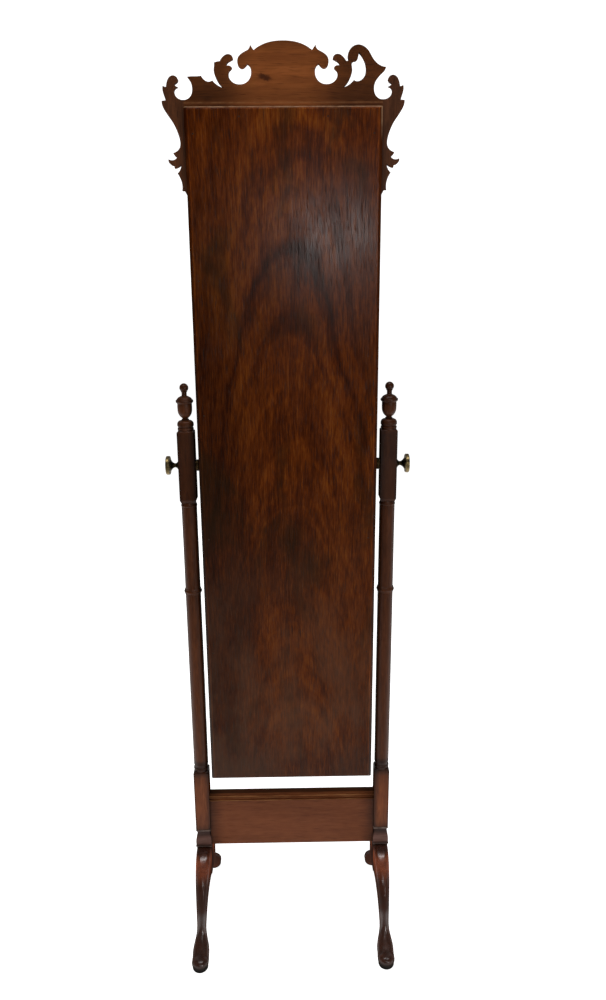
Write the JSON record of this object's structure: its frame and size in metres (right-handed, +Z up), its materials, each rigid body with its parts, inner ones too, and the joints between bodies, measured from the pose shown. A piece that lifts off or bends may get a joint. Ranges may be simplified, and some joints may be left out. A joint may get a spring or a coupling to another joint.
{
  "type": "cheval floor mirror",
  "caption": "Tall framed looking glass with a pierced fretwork crest and ears, tilting on brass thumb-screws between turned posts on cabriole legs.",
  "frame": {"origin": "on the floor, midway between the four pad feet, below the tilting axis", "axes": "+Z up; the looking glass faces -Y; X runs along the tilting axis, +X to the right of a person looking into the glass"},
  "size_m": [0.463, 0.3326, 1.7431],
  "materials": {
    "post_mahogany": "satin polish",
    "leg_mahogany": "glossy polish",
    "rail_mahogany": "satin polish",
    "dowel_beech": "bare",
    "frame_mahogany": "satin polish",
    "fretwork_mahogany": "worn satin polish",
    "figured_mahogany": "satin polish over figured grain",
    "silvered_glass": "silvered, narrow bevel",
    "softwood": "bare",
    "pin_steel": "dulled",
    "screw_steel": "dulled",
    "aged_brass": "aged, unlacquered"
  },
  "bodies": {
    "stand": {"left_post": "post_mahogany", "right_post": "post_mahogany", "left_finial": "post_mahogany", "right_finial": "post_mahogany", "left_foot_block": "post_mahogany", "right_foot_block": "post_mahogany", "front_left_leg": "leg_mahogany", "front_right_leg": "leg_mahogany", "back_left_leg": "leg_mahogany", "back_right_leg": "leg_mahogany", "leg_dowels": "dowel_beech", "apron_rail": "rail_mahogany", "rail_moulding": "rail_mahogany"},
    "mirror": {"frame_left_stile": "frame_mahogany", "frame_right_stile": "frame_mahogany", "frame_top_rail": "frame_mahogany", "frame_bottom_rail": "frame_mahogany", "mirror_glass": "silvered_glass", "glass_blocks": "softwood", "backboard": "figured_mahogany", "backboard_pins": "pin_steel", "crest": "fretwork_mahogany", "left_ear": "fretwork_mahogany", "right_ear": "fretwork_mahogany", "fretwork_screws": "screw_steel", "left_pivot_plate": "aged_brass", "right_pivot_plate": "aged_brass", "plate_screws": "aged_brass"},
    "left_thumb_screw": {"left_thumb_screw": "aged_brass"},
    "right_thumb_screw": {"right_thumb_screw": "aged_brass"}
  },
  "joints": [
    {"name": "mirror_tilt", "type": "hinge", "parent": "stand", "child": "mirror", "pos_m": [0, 0, 1.024], "axis": [1, 0, 0], "range_deg": [-165, 165]},
    {"name": "left_thumb_screw_turn", "type": "hinge", "parent": "mirror", "child": "left_thumb_screw", "pos_m": [-0.191, 0, 1.024], "axis": [-1, 0, 0], "range_deg": [0, 720]},
    {"name": "right_thumb_screw_turn", "type": "hinge", "parent": "mirror", "child": "right_thumb_screw", "pos_m": [0.191, 0, 1.024], "axis": [1, 0, 0], "range_deg": [0, 720]}
  ]
}
